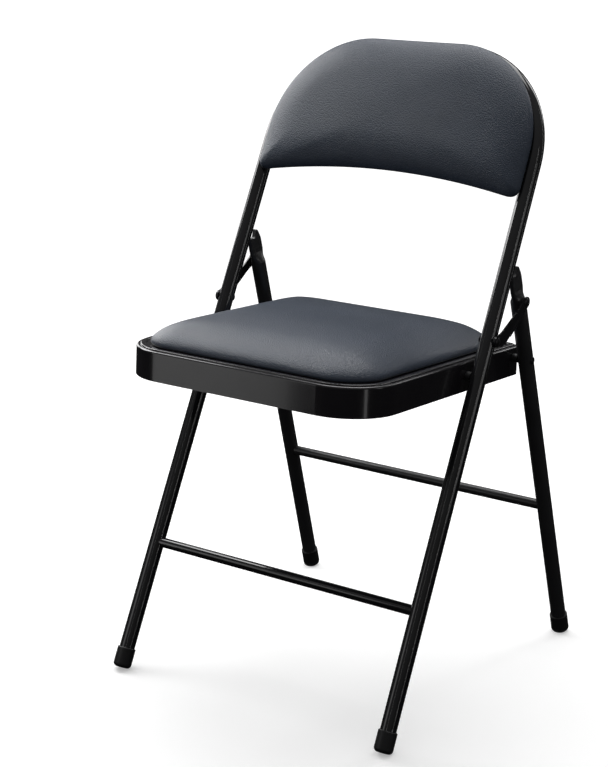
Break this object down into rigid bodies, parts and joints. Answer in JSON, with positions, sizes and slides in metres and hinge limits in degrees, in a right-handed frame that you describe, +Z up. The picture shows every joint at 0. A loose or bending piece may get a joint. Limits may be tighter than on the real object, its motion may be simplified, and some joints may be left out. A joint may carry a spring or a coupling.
{
  "type": "folding chair",
  "caption": "Steel tube folding chair with an arched padded back rest, a padded seat in a pressed steel pan, and rear legs that fold with the seat.",
  "frame": {"origin": "on the floor, under the centre of the open chair's bounding box", "axes": "+Z up, -Y is the chair's front, +X is the sitter's left"},
  "size_m": [0.4374, 0.4653, 0.7999],
  "materials": {
    "frame_paint": "gloss black stove enamel",
    "leg_paint": "satin black stove enamel",
    "pan_paint": "gloss black stove enamel on pressed sheet",
    "leatherette": "fine grained dark blue-grey leatherette with a soft sheen",
    "foam": "open cell foam, hidden",
    "hardboard": "dark hardboard",
    "foot_plastic": "soft black plastic",
    "spacer_plastic": "black nylon",
    "zinc_steel": "zinc plated",
    "rivet_steel": "blackened steel"
  },
  "bodies": {
    "front_frame": {"front_frame_tube": "frame_paint", "front_stretcher": "frame_paint", "front_foot_cap_left": "foot_plastic", "front_foot_cap_right": "foot_plastic", "back_lugs": "frame_paint", "back_board": "hardboard", "back_foam": "foam", "back_cover": "leatherette", "back_screws": "zinc_steel", "seat_pivot_rivet_left": "rivet_steel", "seat_pivot_rivet_right": "rivet_steel", "seat_pivot_spacer_left": "spacer_plastic", "seat_pivot_spacer_right": "spacer_plastic", "link_lower_rivet_left": "rivet_steel", "link_lower_rivet_right": "rivet_steel", "link_lower_washer_left": "rivet_steel", "link_lower_washer_right": "rivet_steel"},
    "seat": {"seat_pan": "pan_paint", "pivot_plate_left": "pan_paint", "pivot_plate_right": "pan_paint", "seat_board": "hardboard", "seat_foam": "foam", "seat_cover": "leatherette", "seat_screws": "zinc_steel"},
    "rear_legs": {"rear_leg_left": "leg_paint", "rear_leg_right": "leg_paint", "rear_stretcher": "leg_paint", "rear_foot_cap_left": "foot_plastic", "rear_foot_cap_right": "foot_plastic", "rear_pivot_rivet_left": "rivet_steel", "rear_pivot_rivet_right": "rivet_steel", "rear_pivot_spacer_left": "spacer_plastic", "rear_pivot_spacer_right": "spacer_plastic"},
    "link_left": {"link_left": "frame_paint", "link_upper_rivet_left": "rivet_steel"},
    "link_right": {"link_right": "frame_paint", "link_upper_rivet_right": "rivet_steel"}
  },
  "joints": [
    {"name": "seat_fold", "type": "hinge", "parent": "front_frame", "child": "seat", "pos_m": [0, -0.00388, 0.41], "axis": [-1, 0, 0], "range_deg": [0, 104.06]},
    {"name": "rear_legs_fold", "type": "hinge", "parent": "seat", "child": "rear_legs", "pos_m": [0, 0.11231, 0.4063], "axis": [-1, 0, 0], "range_deg": [-61.59, 0]},
    {"name": "link_left_fold", "type": "hinge", "parent": "front_frame", "child": "link_left", "pos_m": [0, 0.01779, 0.452], "axis": [-1, 0, 0], "range_deg": [0, 126.7]},
    {"name": "link_right_fold", "type": "hinge", "parent": "front_frame", "child": "link_right", "pos_m": [0, 0.01779, 0.452], "axis": [-1, 0, 0], "range_deg": [0, 126.7]}
  ],
  "couplings": [
    {"joint": "rear_legs_fold", "follows": "seat_fold", "ratio": -0.5916},
    {"joint": "link_left_fold", "follows": "seat_fold", "ratio": 1.2173},
    {"joint": "link_right_fold", "follows": "seat_fold", "ratio": 1.2173}
  ]
}
